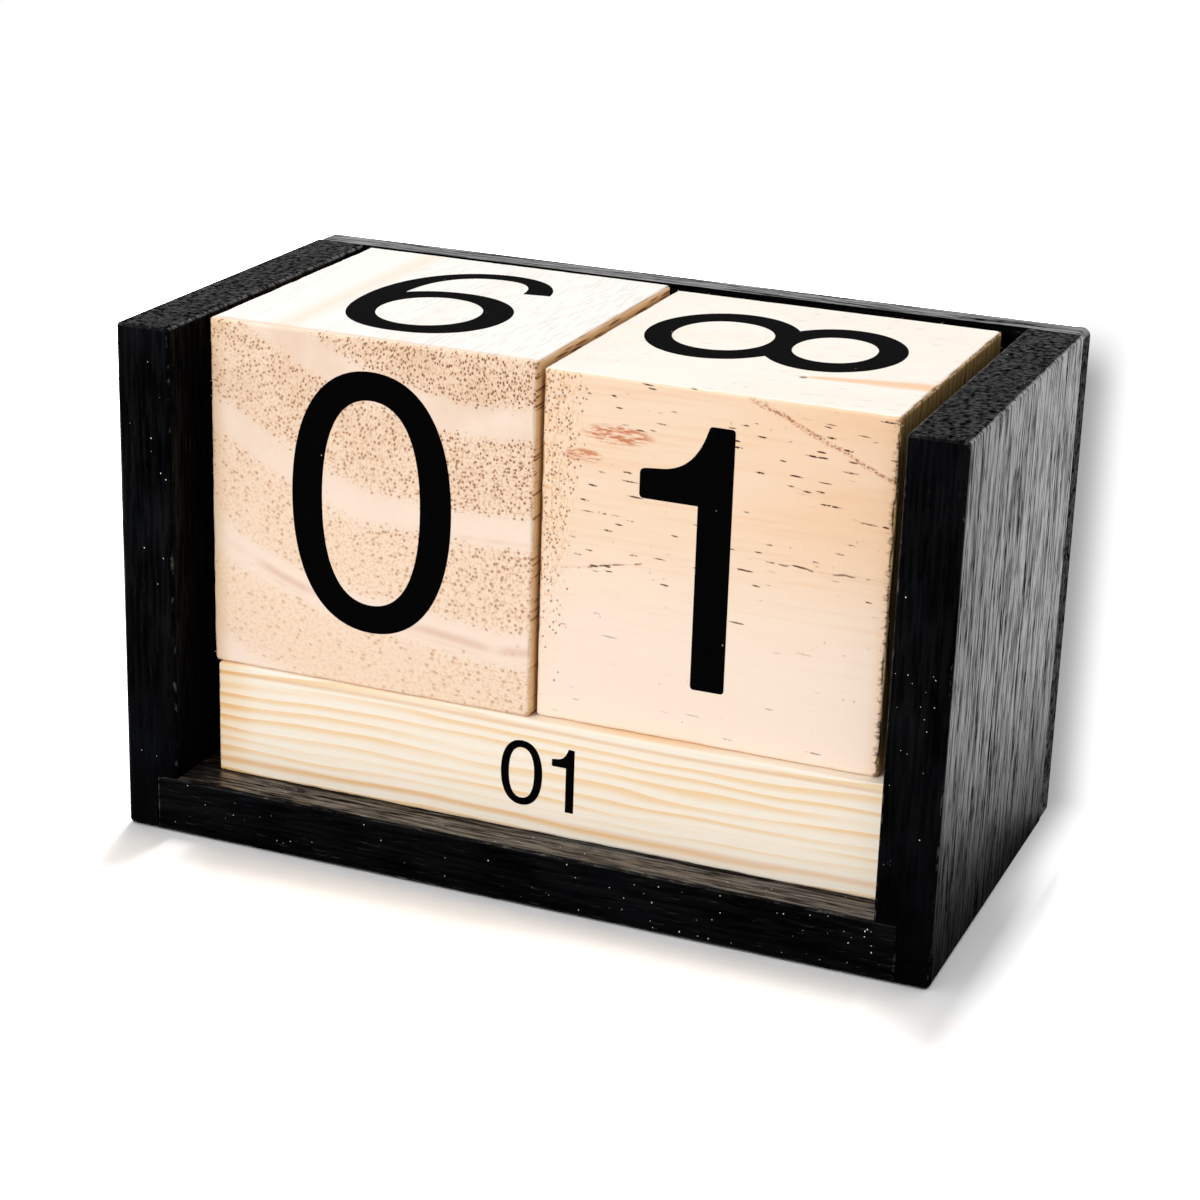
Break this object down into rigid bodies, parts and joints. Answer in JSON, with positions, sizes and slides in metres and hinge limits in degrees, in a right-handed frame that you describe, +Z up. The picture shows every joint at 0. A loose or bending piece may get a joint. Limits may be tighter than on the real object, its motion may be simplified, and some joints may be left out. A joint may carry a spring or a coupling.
{
  "type": "wooden block calendar",
  "caption": "Perpetual desk calendar: an open black wooden frame holds two wooden date cubes on top of loose month bars that slide out to the front.",
  "frame": {"origin": "centre of the frame's footprint, on the table that it stands on", "axes": "+X runs along the width to the reader's right, the open front faces -Y, +Z is up"},
  "size_m": [0.122, 0.0644, 0.0765],
  "materials": {
    "black_painted_wood": "satin black paint over sanded wood",
    "pale_wood": "bare sanded pale softwood",
    "bar_pine": "bare sanded pine",
    "black_numerals": "matte black ink",
    "steel": "drawn wire"
  },
  "bodies": {
    "frame": {"left_side_panel": "black_painted_wood", "right_side_panel": "black_painted_wood", "base_board": "black_painted_wood", "back_panel": "black_painted_wood", "left_base_brads": "steel", "right_base_brads": "steel", "back_brads": "steel"},
    "left_cube": {"left_date_cube": "pale_wood", "left_cube_numerals": "black_numerals"},
    "right_cube": {"right_date_cube": "pale_wood", "right_cube_numerals": "black_numerals"},
    "rear_bar": {"rear_month_bar": "bar_pine", "rear_bar_numerals": "black_numerals"},
    "middle_bar": {"middle_month_bar": "bar_pine", "middle_bar_numerals": "black_numerals"},
    "front_bar": {"front_month_bar": "bar_pine", "front_bar_numerals": "black_numerals"}
  },
  "joints": [
    {"name": "left_cube_lift", "type": "slide", "parent": "frame", "child": "left_cube", "axis": [0, 0, 1], "range_m": [0, 0.06]},
    {"name": "right_cube_lift", "type": "slide", "parent": "frame", "child": "right_cube", "axis": [0, 0, 1], "range_m": [0, 0.06]},
    {"name": "rear_bar_slide", "type": "slide", "parent": "frame", "child": "rear_bar", "axis": [0, -1, 0], "range_m": [0, 0.0602]},
    {"name": "middle_bar_slide", "type": "slide", "parent": "rear_bar", "child": "middle_bar", "axis": [0, -1, 0], "range_m": [0, 0.043]},
    {"name": "front_bar_slide", "type": "slide", "parent": "middle_bar", "child": "front_bar", "axis": [0, -1, 0], "range_m": [0, 0.0258]}
  ]
}
